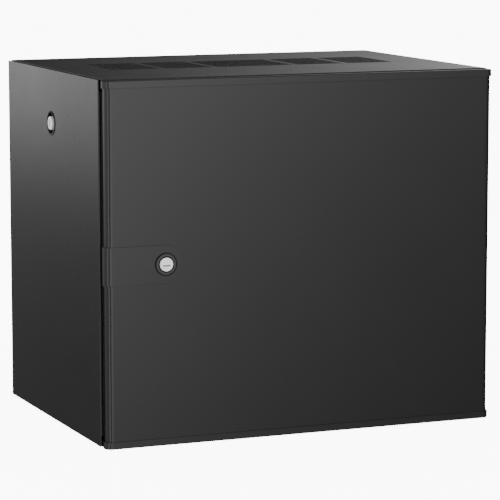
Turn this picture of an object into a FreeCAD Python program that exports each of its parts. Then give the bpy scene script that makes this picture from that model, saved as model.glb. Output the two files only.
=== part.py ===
import FreeCAD, Part
import math
import os

# A 19 inch wall cabinet of nine units with a solid lockable door and two removable
# side panels. Millimetres. +X is to the right seen from the front, +Y towards the wall,
# +Z up. The origin is in the middle of the footprint, on the plane the cabinet stands on.

# ---------------------------------------------------------------- overall
DEPTH = 440.0             # face of the door to the back
SIDE_SPACE = 75.0         # rack opening to the outside of a side panel
END_SPACE = 58.7          # rack units to the outside of the top or bottom panel

# ---------------------------------------------------------------- rack standard
UNITS = 9
UNIT = 44.45
UNIT_HOLES = (6.35, 22.225, 38.1)   # hole centres above the foot of each unit
RACK_OPENING = 450.0
HOLE_FROM_OPENING = 7.55  # rack opening to the middle of the square holes
SQUARE_HOLE = 9.5

# ---------------------------------------------------------------- sheet and fits
PANEL_SHEET = 1.2
FRAME_SHEET = 1.5
RAIL_SHEET = 2.0
BEND = 1.0                # inside radius of a bend
RUNNING_GAP = 0.05        # radial, a turning pin or barrel in its bore
SCREW_GAP = 0.3           # radial, a screw in its hole
SEAT_GAP = 0.3            # between pieces that part when the cabinet is opened

# ---------------------------------------------------------------- top and bottom panels
LID_INSET = 5.0           # side of the lid behind the side panel's face
LID_EDGE = 0.5            # outside radius of the lid's coined folds
LID_CORNER = 2.0
LID_FLANGE = 14.0         # height of the folded side and rear edges
LID_SETBACK = 18.0        # face of the door to the lid's front edge
VENT_SETBACK = 181.0      # face of the door to the front of the vents
VENT_DEPTH = 120.0
VENT_CENTRE = 122.0       # width of the middle field
VENT_SIDE = 75.0          # width of each of the four side fields
VENT_RIB = 6.0            # solid rib between two fields
VENT_SLOT = 4.4
VENT_PITCH = 6.0
ENTRY_WIDTH = 134.0       # cable entry near the back
ENTRY_DEPTH = 40.0
ENTRY_FROM_BACK = 28.0
ENTRY_GAP = 1.5           # slit round the blanking plate
ENTRY_RIM = 6.0           # rim of the blanking plate under the lid
EYELET = 4.0              # small round holes in the lid
EYELET_SIDE = 240.0       # those beside the vents
EYELET_SETBACK = 157.0
EYELETS_BACK = (132.0, 145.0, 164.0, 195.0)
EYELET_FROM_BACK = 34.0

# ---------------------------------------------------------------- door
CAP_INSET = 0.7           # end of a door cap behind the side panel's face
CAP_DEPTH = 16.5
CAP_HEIGHT = 11.0
CAP_GAP = 0.4             # cap to the level of the top or bottom panel
CAP_DROP = 1.1            # top face of the top cap below the top panel
CAP_FRONT_RADIUS = 10.0
CAP_BACK_RADIUS = 4.0
CAP_WALL = 3.0
CAP_POCKET = 7.0
CAP_END = 24.0            # solid end of a cap, round the pivot
CAP_LIP = 8.0             # lip that reaches into the leaf
CAP_LIP_SHEET = 2.0
CAP_EDGE = 0.8            # bevel of the cap's outer edge
LEAF_STEP = 1.0           # leaf behind the face of the caps
LEAF_INSET = 2.5          # leaf inside the ends of the caps
LEAF_DEPTH = 15.0
LEAF_RADIUS = 9.0
LEAF_BACK_RADIUS = 2.5
LEAF_HEM = 14.0
PIVOT_IN = 7.0            # pivot to the end of the cap
PIVOT_BACK = 7.0          # pivot to the back of the cap
PIN_RADIUS = 2.5
PIN_IN_CAP = 7.5
PIN_LEAD = 0.75           # bevel of the pin's tip
PIN_END_GAP = 1.0         # tip of the pin to the end of its bore
ARM_SHEET = 3.0
ARM_BOSS = 5.0
ARM_WIDTH = 8.0
ARM_SHOULDER = 2.0        # front of the post to the arm's wide part
WASHER_SHEET = 0.7
WASHER_RADIUS = 4.8
HINGE_SLOT = 4.5          # height of the gap that each hinge arm passes through
STIFFENER_AT = 140.0
STIFFENER_TOP = 24.0
STIFFENER_FOOT = 10.0
STIFFENER_DEPTH = 9.0
STIFFENER_SHEET = 1.0
STIFFENER_END = 36.0      # end of a stiffener to the cap
BUFFER_RADIUS = 4.0
BUFFER_FROM_END = 48.0

# ---------------------------------------------------------------- frame
POST_REACH = 3.3          # outer edge of the front frame behind the side panel's face
POST_WEB = 14.0           # outside of a post's web behind the side panel's face
POST_WIDTH = 24.0
POST_DEPTH = 27.0
HEM_RADIUS = 1.4          # outside of the doubled edge
RAIL_BAR_HEIGHT = 30.0    # the bars that carry the rack rails
RAIL_BAR_FROM_END = 28.0  # top bar to the top panel, bottom bar to the bottom panel
BAR_SLOT = 20.0
BAR_SLOT_PITCH = 30.0
RACK_SETBACK = 60.0       # face of the door to the front rack rails
REAR_RACK_SETBACK = 45.0  # back of the cabinet to the rear rack rails
RACK_FLANGE = 25.5        # width of a rack rail's face
RACK_LEG = 35.0
RACK_END = 2.0            # end of a rack rail to the outside of its bar

# ---------------------------------------------------------------- back panel
BACK_GAP = 1.0            # between the back panel and its neighbours
WALL_SLOT = 18.0          # wall screw slots, end to end
WALL_SLOT_RADIUS = 4.5
WALL_SPACING_X = 400.0
WALL_SPACING_Z = 400.0
BEAD_SPACING = 130.0      # pressed beads that stiffen the back
BEAD_WIDTH = 16.0
BEAD_DEPTH = 3.0
BEAD_SLOPE = 2.2          # sloping edge of a bead
BEAD_FROM_END = 60.0

# ---------------------------------------------------------------- side panels
SIDE_SETBACK = 23.0       # face of the door to the side panel's front edge
SIDE_TOP_GAP = 0.8
SIDE_BOTTOM_GAP = 1.5
SIDE_RETURN = 12.0        # folded front and rear edges
SIDE_BEND = 0.3           # inside radius of their tight folds
SIDE_RETURN_GAP = 3.0     # end of a folded edge to the lid's flange
HOOK_LEG = 7.0
HOOK_PLATE = 17.0
HOOK_WIDTH = 40.0
HOOK_FROM_MIDDLE = 130.0

# ---------------------------------------------------------------- locks
LOCK_PROUD = 3.0          # plug of the door lock in front of the door's face
DOOR_LOCK_IN = 89.6       # lock centre to the end of the cap
PLUG_RADIUS = 9.7
DOOR_RING_RADIUS = 15.0
DOOR_RING_HEIGHT = 1.5
DOOR_RING_GROOVE = 1.6    # open groove between the ring and the lock plate
DOOR_BARREL_RADIUS = 13.5
DOOR_DISH_RADIUS = 11.4   # sunk floor of the ring, round the plug
DOOR_DISH_DEPTH = 1.0     # and its depth behind the face
DOOR_CAM_LENGTH = 62.0
LOCK_PLATE_RADIUS = 27.0
SIDE_LOCK_DOWN = 77.5     # lock centre to the top of the side panel
SIDE_RING_RADIUS = 18.0
SIDE_RING_HEIGHT = 0.8
SIDE_BARREL_RADIUS = 16.4
SIDE_PLUG_PROUD = 2.3
SIDE_DISH_RADIUS = 15.2
SIDE_DISH_DEPTH = 2.4
SIDE_CAM_LENGTH = 40.0
RING_EDGE = 0.5
BARREL_GAP = 0.1          # barrel in the hole of its panel
LOCK_NUT_HEIGHT = 5.0
LOCK_NUT_RIM = 4.5
LOCK_NUT_FLAT = 1.6       # depth of the two flats
CAM_SHEET = 2.0
CAM_GAP = 1.0             # cam to the edge it locks behind
CAM_HUB = 9.0
CAM_TIP = 5.5
CAM_SQUARE = 8.0
LOCK_SCREW_RADIUS = 5.6
KEYWAY_LENGTH = 11.5
KEYWAY_WIDTH = 1.6
KEYWAY_DEPTH = 2.5
KEYWAY_OFF = 1.8          # keyway below the middle of the plug

# ---------------------------------------------------------------- fasteners
RAIL_BOLT_RADIUS = 3.0
RAIL_BOLT_FLATS = 10.0    # across the flats of its low head
RAIL_BOLT_HEAD_HEIGHT = 2.2
RAIL_NUT_FLATS = 10.0
RAIL_NUT_HEIGHT = 5.0
RAIL_BOLT_END = 1.5       # bolt beyond its nut
BAR_SCREW_RADIUS = 2.5
BAR_SCREW_FLATS = 8.0
BAR_SCREW_HEAD_HEIGHT = 2.7
BAR_SCREW_LENGTH = 8.0
CAGE_BODY = 11.4
CAGE_DEPTH = 4.6
CAGE_IN_HOLE = 9.3
CAGE_THREAD_RADIUS = 2.5
STUD_RADIUS = 3.0
STUD_LENGTH = 16.0
DOOR_STUD_LENGTH = 9.6
STUD_NUT_FLATS = 10.0
STUD_NUT_HEIGHT = 5.0
STUD_WASHER_RADIUS = 6.0
STUD_WASHER_HEIGHT = 2.0
STUD_FROM_SIDE = 90.0
STUD_SETBACK = 70.0

# ---------------------------------------------------------------- planes worked out from these
WIDTH = RACK_OPENING + 2 * SIDE_SPACE    # over the two side panels
HEIGHT = UNITS * UNIT + 2 * END_SPACE    # over the top and bottom panels
FACE = (LOCK_PROUD - DEPTH) / 2          # face of the door
BACK = FACE + DEPTH                      # back of the cabinet
SIDE = WIDTH / 2                         # outside of the right side panel
LID_SIDE = SIDE - LID_INSET
LID_FRONT = FACE + LID_SETBACK
LID_UNDER = HEIGHT - PANEL_SHEET
CAP_SIDE = SIDE - CAP_INSET
CAP_REAR = FACE + CAP_DEPTH
LEAF_SIDE = CAP_SIDE - LEAF_INSET
LEAF_FRONT = FACE + LEAF_STEP
LEAF_REAR = LEAF_FRONT + LEAF_DEPTH
LEAF_BOTTOM = CAP_GAP + CAP_HEIGHT
LEAF_TOP = HEIGHT - LEAF_BOTTOM
PIVOT_X = CAP_SIDE - PIVOT_IN
PIVOT_Y = CAP_REAR - PIVOT_BACK
POST_X = SIDE - POST_WEB                 # outside of the posts' webs
POST_INNER = POST_X - POST_WIDTH
FRONT_POST_REAR = LID_FRONT + POST_DEPTH
HEM_REAR = LID_FRONT + 2 * FRAME_SHEET
REAR_POST_REAR = BACK - PANEL_SHEET
REAR_POST_FRONT = REAR_POST_REAR - POST_DEPTH
FLANGE_BOTTOM = LEAF_BOTTOM + HINGE_SLOT
FLANGE_TOP = HEIGHT - FLANGE_BOTTOM
RACK_INNER = RACK_OPENING / 2
RACK_SIDE = RACK_INNER + RACK_FLANGE
HOLE_X = RACK_INNER + HOLE_FROM_OPENING  # middle of the square holes
RACK_FACE = FACE + RACK_SETBACK
REAR_RACK_FACE = BACK - REAR_RACK_SETBACK
BAR_TOP = HEIGHT - RAIL_BAR_FROM_END
BAR_FOOT = BAR_TOP - RAIL_BAR_HEIGHT
UNITS_FOOT = (HEIGHT - UNITS * UNIT) / 2
SIDE_FRONT = FACE + SIDE_SETBACK
SIDE_MIDDLE = (SIDE_FRONT + BACK) / 2
SIDE_TOP = HEIGHT - SIDE_TOP_GAP
MIDDLE = HEIGHT / 2
DOOR_LOCK_X = -(CAP_SIDE - DOOR_LOCK_IN)
SIDE_LOCK_Z = SIDE_TOP - SIDE_LOCK_DOWN
ENTRY_REAR = BACK - ENTRY_FROM_BACK
ENTRY_FRONT = ENTRY_REAR - ENTRY_DEPTH

X = FreeCAD.Vector(1, 0, 0)
Y = FreeCAD.Vector(0, 1, 0)
Z = FreeCAD.Vector(0, 0, 1)


# ---------------------------------------------------------------- drawing helpers
def block(x0, x1, y0, y1, z0, z1):
    corner = FreeCAD.Vector(x0, y0, z0)
    return Part.makeBox(x1 - x0, y1 - y0, z1 - z0, corner)


def rod(radius, start, end):
    axis = end - start
    return Part.makeCylinder(radius, axis.Length, start, axis)


def fused(shapes):
    whole = shapes[0]
    for shape in shapes[1:]:
        whole = whole.fuse(shape)
    return whole.removeSplitter()


def without(shape, cutters):
    return shape.cut(Part.makeCompound(cutters))


def outline(corners):
    """A closed wire in XY through (x, y, radius) corners, each rounded to its radius."""
    edges = []
    ends = []
    count = len(corners)
    for i in range(count):
        x, y, radius = corners[i]
        here = FreeCAD.Vector(x, y, 0)
        before = FreeCAD.Vector(corners[i - 1][0], corners[i - 1][1], 0) - here
        after = FreeCAD.Vector(corners[(i + 1) % count][0], corners[(i + 1) % count][1], 0) - here
        before.normalize()
        after.normalize()
        if radius <= 0:
            ends.append((here, here))
            continue
        half = before.getAngle(after) / 2
        run = radius / math.tan(half)
        middle = before + after
        middle.normalize()
        on_arc = here + middle * (radius / math.sin(half) - radius)
        start = here + before * run
        end = here + after * run
        edges.append(Part.Arc(start, on_arc, end).toShape())
        ends.append((start, end))
    for i in range(count):
        start = ends[i][1]
        end = ends[(i + 1) % count][0]
        if start.distanceToPoint(end) > 1e-6:
            edges.append(Part.makeLine(start, end))
    return Part.Wire(Part.__sortEdges__(edges))


def plan(corners, z0, z1):
    """An outline in plan, standing from z0 to z1."""
    face = Part.Face(outline(corners))
    face.translate(Z * z0)
    return face.extrude(Z * (z1 - z0))


def section(corners, y0, y1):
    """An outline of (x, z, radius) corners seen from the front, running from y0 to y1."""
    face = Part.Face(outline(corners))
    face.rotate(FreeCAD.Vector(), X, 90)
    face.translate(Y * y0)
    return face.extrude(Y * (y1 - y0))


def heading(start, end):
    dx, dy = end[0] - start[0], end[1] - start[1]
    length = math.hypot(dx, dy)
    return dx / length, dy / length


def folded(path, sheet, bend=BEND):
    """Corners of a folded strip whose sheet lies to the left of a path of square turns."""
    near = []
    far = []
    for i, (x, y) in enumerate(path):
        ways = [heading(path[k], path[k + 1]) for k in (i - 1, i) if 0 <= k < len(path) - 1]
        inner = outer = turn = 0.0
        if len(ways) == 2:
            turn = ways[0][0] * ways[1][1] - ways[0][1] * ways[1][0]
            inner = bend
            outer = bend + sheet
        across = -sheet * sum(way[1] for way in ways)
        up = sheet * sum(way[0] for way in ways)
        near.append((x, y, outer if turn > 0 else inner))
        far.append((x + across, y + up, inner if turn > 0 else outer))
    return near + far[::-1]


def mirrored(shape):
    return shape.mirror(FreeCAD.Vector(), X)


def upside_down(shape):
    return shape.mirror(FreeCAD.Vector(0, 0, MIDDLE), Z)


def edges_at(shape, chosen):
    """The edges whose two ends and middle all answer chosen(point)."""
    found = []
    for edge in shape.Edges:
        points = [vertex.Point for vertex in edge.Vertexes]
        points.append(edge.valueAt((edge.FirstParameter + edge.LastParameter) / 2))
        if all(chosen(point) for point in points):
            found.append(edge)
    return found


def hexagon(flats, height, centre, axis):
    """A nut blank on an axis, centred on its foot."""
    radius = flats / math.sqrt(3)
    points = []
    for i in range(7):
        angle = math.radians(60 * i)
        points.append(FreeCAD.Vector(radius * math.cos(angle), radius * math.sin(angle), 0))
    blank = Part.Face(Part.makePolygon(points)).extrude(Z * height)
    blank.Placement = FreeCAD.Placement(centre, FreeCAD.Rotation(Z, axis))
    return blank


# ---------------------------------------------------------------- top and bottom panels
def vent_slots(z0, z1):
    fields = [(-VENT_CENTRE / 2, VENT_CENTRE)]
    for side in (-1, 1):
        inner = VENT_CENTRE / 2 + VENT_RIB
        for _ in range(2):
            left = inner if side > 0 else -inner - VENT_SIDE
            fields.append((left, VENT_SIDE))
            inner += VENT_SIDE + VENT_RIB
    slots = []
    front = FACE + VENT_SETBACK
    for left, width in fields:
        count = int((width - VENT_SLOT) / VENT_PITCH) + 1
        first = left + (width - VENT_SLOT - (count - 1) * VENT_PITCH) / 2
        for column in range(count):
            x = first + column * VENT_PITCH
            slots.append(block(x, x + VENT_SLOT, front, front + VENT_DEPTH, z0, z1))
    return slots


def eyelets(z0, z1):
    places = [(EYELET_SIDE, FACE + EYELET_SETBACK)]
    places += [(x, BACK - EYELET_FROM_BACK) for x in EYELETS_BACK]
    holes = []
    for x, y in places:
        for side in (-1, 1):
            foot = FreeCAD.Vector(side * x, y, z0)
            holes.append(rod(EYELET / 2, foot, foot + Z * (z1 - z0)))
    return holes


def entry_hole(z0, z1):
    half = ENTRY_WIDTH / 2
    return block(-half, half, ENTRY_FRONT, ENTRY_REAR, z0, z1)


def lid():
    """The top panel: a shallow tray, its front edge folded down behind the door cap."""
    outer = block(-LID_SIDE, LID_SIDE, LID_FRONT, BACK, HEIGHT - LID_FLANGE, HEIGHT)
    foot = HEIGHT - LID_FLANGE
    corners = [edge for edge in outer.Edges if abs(edge.tangentAt(edge.FirstParameter).z) > 0.9]
    outer = outer.makeFillet(LID_CORNER, corners)
    outer = outer.makeFillet(LID_EDGE, edges_at(outer, lambda p: p.z > HEIGHT - 0.1))
    inside = LID_SIDE - PANEL_SHEET
    inner = block(-inside, inside, LID_FRONT + PANEL_SHEET, BACK - PANEL_SHEET, foot, LID_UNDER)
    front = block(-SIDE, SIDE, LID_FRONT - 1, LID_FRONT + PANEL_SHEET + BEND, 0, LEAF_TOP)
    cutters = [inner, front, entry_hole(foot, HEIGHT + 1)]
    cutters += vent_slots(foot, HEIGHT + 1)
    return without(outer, cutters)


def top_panel():
    return without(lid(), eyelets(LID_UNDER - 1, HEIGHT + 1))


def bottom_panel():
    return upside_down(lid())


def top_entry_cover():
    """A pressed blanking plate: it fills the entry flush and clips under the lid's edge."""
    half = ENTRY_WIDTH / 2
    plug = block(-half + ENTRY_GAP, half - ENTRY_GAP, ENTRY_FRONT + ENTRY_GAP,
                 ENTRY_REAR - ENTRY_GAP, LID_UNDER - PANEL_SHEET, HEIGHT)
    rim = block(-half - ENTRY_RIM, half + ENTRY_RIM, ENTRY_FRONT - ENTRY_RIM,
                ENTRY_REAR + ENTRY_RIM, LID_UNDER - PANEL_SHEET, LID_UNDER)
    hollow = block(-half + ENTRY_GAP + PANEL_SHEET, half - ENTRY_GAP - PANEL_SHEET,
                   ENTRY_FRONT + ENTRY_GAP + PANEL_SHEET, ENTRY_REAR - ENTRY_GAP - PANEL_SHEET,
                   LID_UNDER - PANEL_SHEET, LID_UNDER)
    return fused([plug, rim]).cut(hollow)


def bottom_entry_trim():
    """A rubber edge round the open cable entry in the bottom panel."""
    half = ENTRY_WIDTH / 2
    through = block(-half, half, ENTRY_FRONT, ENTRY_REAR, 0, 2 * PANEL_SHEET)
    rim = block(-half - ENTRY_RIM, half + ENTRY_RIM, ENTRY_FRONT - ENTRY_RIM,
                ENTRY_REAR + ENTRY_RIM, PANEL_SHEET, 2 * PANEL_SHEET)
    way = block(-half + ENTRY_GAP, half - ENTRY_GAP, ENTRY_FRONT + ENTRY_GAP,
                ENTRY_REAR - ENTRY_GAP, -1, 3 * PANEL_SHEET)
    return fused([through, rim]).cut(way)


# ---------------------------------------------------------------- back panel
def back_panel():
    edge = SIDE - SIDE_RETURN - BACK_GAP
    foot = LID_FLANGE + BACK_GAP
    sheet = block(-edge, edge, BACK - PANEL_SHEET, BACK, foot, HEIGHT - foot)
    cutters = []
    for x in (-WALL_SPACING_X / 2, WALL_SPACING_X / 2):
        for z in (MIDDLE - WALL_SPACING_Z / 2, MIDDLE + WALL_SPACING_Z / 2):
            half = WALL_SLOT / 2
            radius = WALL_SLOT_RADIUS
            corners = [(x - half, z - radius, radius), (x + half, z - radius, radius),
                       (x + half, z + radius, radius), (x - half, z + radius, radius)]
            cutters.append(section(corners, BACK - 2 * PANEL_SHEET, BACK + 1))
    beads = []
    for x in (-BEAD_SPACING / 2, BEAD_SPACING / 2):
        low = foot + BEAD_FROM_END
        high = HEIGHT - low
        depth = BEAD_DEPTH + PANEL_SHEET
        bead = block(x - BEAD_WIDTH / 2, x + BEAD_WIDTH / 2, BACK - depth, BACK, low, high)
        inner = edges_at(bead, lambda p: p.y < BACK - depth + 0.1)
        beads.append(bead.makeChamfer(BEAD_SLOPE, inner))
        groove = block(x - BEAD_WIDTH / 2 + PANEL_SHEET, x + BEAD_WIDTH / 2 - PANEL_SHEET,
                       BACK - BEAD_DEPTH, BACK, low + PANEL_SHEET, high - PANEL_SHEET)
        inner = edges_at(groove, lambda p: p.y < BACK - BEAD_DEPTH + 0.1)
        cutters.append(groove.makeChamfer(BEAD_SLOPE, inner))
    return without(fused([sheet] + beads), cutters)


# ---------------------------------------------------------------- frame
def front_post_left():
    """A folded channel open to the inside, its front edge doubled for the lock's cam."""
    a = LID_FRONT
    b = FRONT_POST_REAR
    t = FRAME_SHEET
    edge = -SIDE + POST_REACH
    corners = [(edge, a, 0), (-POST_INNER, a, HEM_RADIUS), (-POST_INNER, HEM_REAR, HEM_RADIUS),
               (-POST_X + t, HEM_REAR, BEND), (-POST_X + t, b - t, BEND),
               (-POST_INNER, b - t, 0), (-POST_INNER, b, 0), (-POST_X, b, BEND + t),
               (-POST_X, a + t, 0), (edge, a + t, 0)]
    post = plan(corners, PANEL_SHEET, LID_UNDER)
    ends = []
    for z0, z1 in ((0, FLANGE_BOTTOM), (FLANGE_TOP, HEIGHT)):
        ends.append(block(-SIDE, -POST_INNER + 1, a - 1, HEM_REAR + BEND, z0, z1))
    return without(post, ends)


def rear_post_left():
    a = REAR_POST_FRONT
    b = REAR_POST_REAR
    path = [(-POST_INNER, b), (-POST_X, b), (-POST_X, a), (-POST_INNER, a)]
    post = plan(folded(path, FRAME_SHEET), PANEL_SHEET, LID_UNDER)
    reliefs = []
    for z0, z1 in ((0, PANEL_SHEET + BEND), (LID_UNDER - BEND, HEIGHT)):
        reliefs.append(block(-SIDE, 0, b - BEND, b, z0, z1))
    return without(post, reliefs)


def bar_upper_left():
    """A channel open downwards between the posts; the side lock's cam hooks into it.

    Its row of slots has one at each bolt of the rack rails and the rest evenly between.
    """
    t = FRAME_SHEET
    low = BAR_FOOT
    path = [(-RACK_SIDE, low), (-RACK_SIDE, BAR_TOP), (-POST_X, BAR_TOP), (-POST_X, low)]
    bar = section(folded(path, t), FRONT_POST_REAR, REAR_POST_FRONT)
    front = rail_bolt_lines(RACK_FACE, 1)[0][0]
    rear = rail_bolt_lines(REAR_RACK_FACE, -1)[0][0]
    count = round((rear.y - front.y) / BAR_SLOT_PITCH)
    half = RAIL_BOLT_RADIUS + SCREW_GAP
    slots = []
    for i in range(count + 1):
        y = front.y + (rear.y - front.y) * i / count
        slots.append(block(-RACK_SIDE - 2 * t, -RACK_SIDE + 1, y - BAR_SLOT / 2, y + BAR_SLOT / 2,
                           front.z - half, front.z + half))
    return without(bar, slots)


def bar_end_plates():
    """Plates welded into the two ends of each bar; the bar screws hold them to the posts."""
    t = FRAME_SHEET
    plates = []
    for y in (FRONT_POST_REAR, REAR_POST_FRONT - t):
        plate = block(-POST_X + t, -RACK_SIDE - t, y, y + t, BAR_FOOT, BAR_TOP - t - BEND)
        plate = without(plate, [rod(BAR_SCREW_RADIUS, start, end) for start, end in bar_screw_lines()])
        plates += [plate, upside_down(plate)]
    return Part.makeCompound(plates + [mirrored(plate) for plate in plates])


def bar_screw_lines():
    """Middle of each bar screw: from the inside of a post's flange to the screw's tip."""
    x = -(POST_X + RACK_SIDE) / 2
    z = (BAR_FOOT + BAR_TOP - FRAME_SHEET) / 2
    front = FRONT_POST_REAR - FRAME_SHEET
    rear = REAR_POST_FRONT + FRAME_SHEET
    lines = [(FreeCAD.Vector(x, front, z), FreeCAD.Vector(x, front + BAR_SCREW_LENGTH, z))]
    lines.append((FreeCAD.Vector(x, rear, z), FreeCAD.Vector(x, rear - BAR_SCREW_LENGTH, z)))
    return lines


def drilled_post(post):
    """A post with the holes of the upper and lower bar screws."""
    holes = []
    for start, end in bar_screw_lines():
        hole = rod(BAR_SCREW_RADIUS, start, end)
        holes += [hole, upside_down(hole)]
    return without(post, holes)


def bar_screws():
    screws = []
    for start, end in bar_screw_lines():
        way = (end - start).normalize()
        head = hexagon(BAR_SCREW_FLATS, BAR_SCREW_HEAD_HEIGHT, start, -way)
        screw = fused([rod(BAR_SCREW_RADIUS, start, end), head])
        screws += [screw, upside_down(screw)]
    return Part.makeCompound(screws + [mirrored(screw) for screw in screws])


# ---------------------------------------------------------------- rack rails
def unit_heights():
    return [UNITS_FOOT + unit * UNIT + hole for unit in range(UNITS) for hole in UNIT_HOLES]


def rack_rail(face, back):
    """A left-hand rack rail: square holes in its face, its leg running towards back (1 or -1)."""
    t = RAIL_SHEET
    inner = -RACK_INNER
    end = face + back * RACK_LEG
    low = RAIL_BAR_FROM_END + RACK_END
    corners = [(inner, face, 0), (-RACK_SIDE, face, BEND + t), (-RACK_SIDE, end, 0),
               (-RACK_SIDE + t, end, 0), (-RACK_SIDE + t, face + back * t, BEND),
               (inner, face + back * t, 0)]
    rail = plan(corners, low, HEIGHT - low)
    half = SQUARE_HOLE / 2
    y0 = min(face, face + back * t) - 1
    y1 = max(face, face + back * t) + 1
    x = -HOLE_X
    holes = [block(x - half, x + half, y0, y1, z - half, z + half) for z in unit_heights()]
    for start, end in rail_bolt_lines(face, back):
        holes.append(rod(RAIL_BOLT_RADIUS + SCREW_GAP, start, end))
    return without(rail, holes)


def rail_bolt_lines(face, back):
    """Middle of the bolts that hold a left-hand rail, from the head's seat in the bar to the tip."""
    y = face + back * (RACK_LEG + RAIL_SHEET) / 2
    z = (BAR_FOOT + BAR_TOP) / 2
    seat = -RACK_SIDE - FRAME_SHEET
    tip = -RACK_SIDE + RAIL_SHEET + RAIL_NUT_HEIGHT + RAIL_BOLT_END
    lines = []
    for height in (z, HEIGHT - z):
        lines.append((FreeCAD.Vector(seat, y, height), FreeCAD.Vector(tip, y, height)))
    return lines


def rail_bolts():
    bolts = []
    for face, back in ((RACK_FACE, 1), (REAR_RACK_FACE, -1)):
        for start, end in rail_bolt_lines(face, back):
            head = hexagon(RAIL_BOLT_FLATS, RAIL_BOLT_HEAD_HEIGHT, start, -X)
            bolts.append(fused([rod(RAIL_BOLT_RADIUS, start, end), head]))
    return Part.makeCompound(bolts + [mirrored(bolt) for bolt in bolts])


def rail_nuts():
    nuts = []
    for face, back in ((RACK_FACE, 1), (REAR_RACK_FACE, -1)):
        for start, end in rail_bolt_lines(face, back):
            foot = FreeCAD.Vector(-RACK_SIDE + RAIL_SHEET, start.y, start.z)
            nut = hexagon(RAIL_NUT_FLATS, RAIL_NUT_HEIGHT, foot, X)
            nuts.append(nut.cut(rod(RAIL_BOLT_RADIUS, start, end)))
    return Part.makeCompound(nuts + [mirrored(nut) for nut in nuts])


def cage_nuts():
    """Caged nuts in the lowest and the highest hole of every rack rail."""
    heights = unit_heights()
    half = CAGE_IN_HOLE / 2
    body = CAGE_BODY / 2
    x = -HOLE_X
    nuts = []
    for face, back in ((RACK_FACE, 1), (REAR_RACK_FACE, -1)):
        seat = face + back * RAIL_SHEET
        end = seat + back * CAGE_DEPTH
        for z in (heights[0], heights[-1]):
            boss = block(x - half, x + half, min(face, seat), max(face, seat), z - half, z + half)
            cage = block(x - body, x + body, min(seat, end), max(seat, end), z - body, z + body)
            bore = rod(CAGE_THREAD_RADIUS, FreeCAD.Vector(x, face - back, z),
                       FreeCAD.Vector(x, end + back, z))
            nuts.append(fused([boss, cage]).cut(bore))
    return Part.makeCompound(nuts + [mirrored(nut) for nut in nuts])


# ---------------------------------------------------------------- hinges
def arm_bottom():
    """Level of the underside of the upper hinge arm."""
    return LEAF_TOP - WASHER_SHEET - ARM_SHEET


def hinge_arm_upper():
    """A flat arm welded into the right front post; it carries the pin in its round end."""
    low = arm_bottom()
    high = low + ARM_SHEET
    web = POST_X - FRAME_SHEET
    slope = ARM_WIDTH / math.sqrt(2)
    entry = LID_FRONT
    shoulder = entry + ARM_SHOULDER
    lean = entry - PIVOT_Y
    left = PIVOT_X - lean - slope
    corners = [(PIVOT_X + slope / 2, PIVOT_Y + slope / 2, 0),
               (PIVOT_X - slope / 2, PIVOT_Y - slope / 2, 0),
               (left, entry, 0), (POST_INNER, shoulder, 0),
               (POST_INNER, FRONT_POST_REAR - FRAME_SHEET, 0),
               (web, FRONT_POST_REAR - FRAME_SHEET, BEND), (web, shoulder, 0),
               (left + 2 * slope, entry, 0)]
    plate = plan(corners, low, high)
    pivot = FreeCAD.Vector(PIVOT_X, PIVOT_Y, low)
    boss = rod(ARM_BOSS, pivot, pivot + Z * ARM_SHEET)
    return fused([plate, boss]).cut(rod(PIN_RADIUS, pivot, pivot + Z * ARM_SHEET))


def hinge_pin_upper():
    low = arm_bottom()
    foot = FreeCAD.Vector(PIVOT_X, PIVOT_Y, low)
    top = LEAF_TOP + PIN_IN_CAP - PIN_END_GAP
    pin = rod(PIN_RADIUS, foot, FreeCAD.Vector(PIVOT_X, PIVOT_Y, top))
    return pin.makeChamfer(PIN_LEAD, edges_at(pin, lambda p: p.z > LEAF_TOP))


def hinge_washer_upper():
    foot = FreeCAD.Vector(PIVOT_X, PIVOT_Y, LEAF_TOP - WASHER_SHEET)
    disc = rod(WASHER_RADIUS, foot, foot + Z * WASHER_SHEET)
    return disc.cut(rod(PIN_RADIUS + RUNNING_GAP, foot, foot + Z * WASHER_SHEET))


# ---------------------------------------------------------------- door
def cap_corners():
    return [(-CAP_SIDE, FACE, CAP_FRONT_RADIUS), (CAP_SIDE, FACE, CAP_FRONT_RADIUS),
            (CAP_SIDE, CAP_REAR, CAP_BACK_RADIUS), (-CAP_SIDE, CAP_REAR, CAP_BACK_RADIUS)]


def door_top_cap():
    """A moulded end cap, hollow above the leaf, with a pivot bore and a locating lip."""
    top = HEIGHT - CAP_DROP
    body = plan(cap_corners(), LEAF_TOP, top)
    body = body.makeChamfer(CAP_EDGE, edges_at(body, lambda p: p.z > top - 0.1))
    end = CAP_SIDE - CAP_END
    pocket = block(-end, end, FACE + CAP_WALL, CAP_REAR - CAP_WALL, LEAF_TOP,
                   LEAF_TOP + CAP_POCKET)
    front = LEAF_FRONT + PANEL_SHEET + SEAT_GAP
    lip = block(-end, end, front, front + CAP_LIP_SHEET, LEAF_TOP - CAP_LIP, LEAF_TOP)
    heel = block(-end, end, front, front + CAP_LIP_SHEET, LEAF_TOP, LEAF_TOP + CAP_POCKET)
    pivot = FreeCAD.Vector(PIVOT_X, PIVOT_Y, LEAF_TOP)
    bore = rod(PIN_RADIUS + RUNNING_GAP, pivot, pivot + Z * PIN_IN_CAP)
    return fused([body.cut(pocket), heel, lip]).cut(bore)


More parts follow.
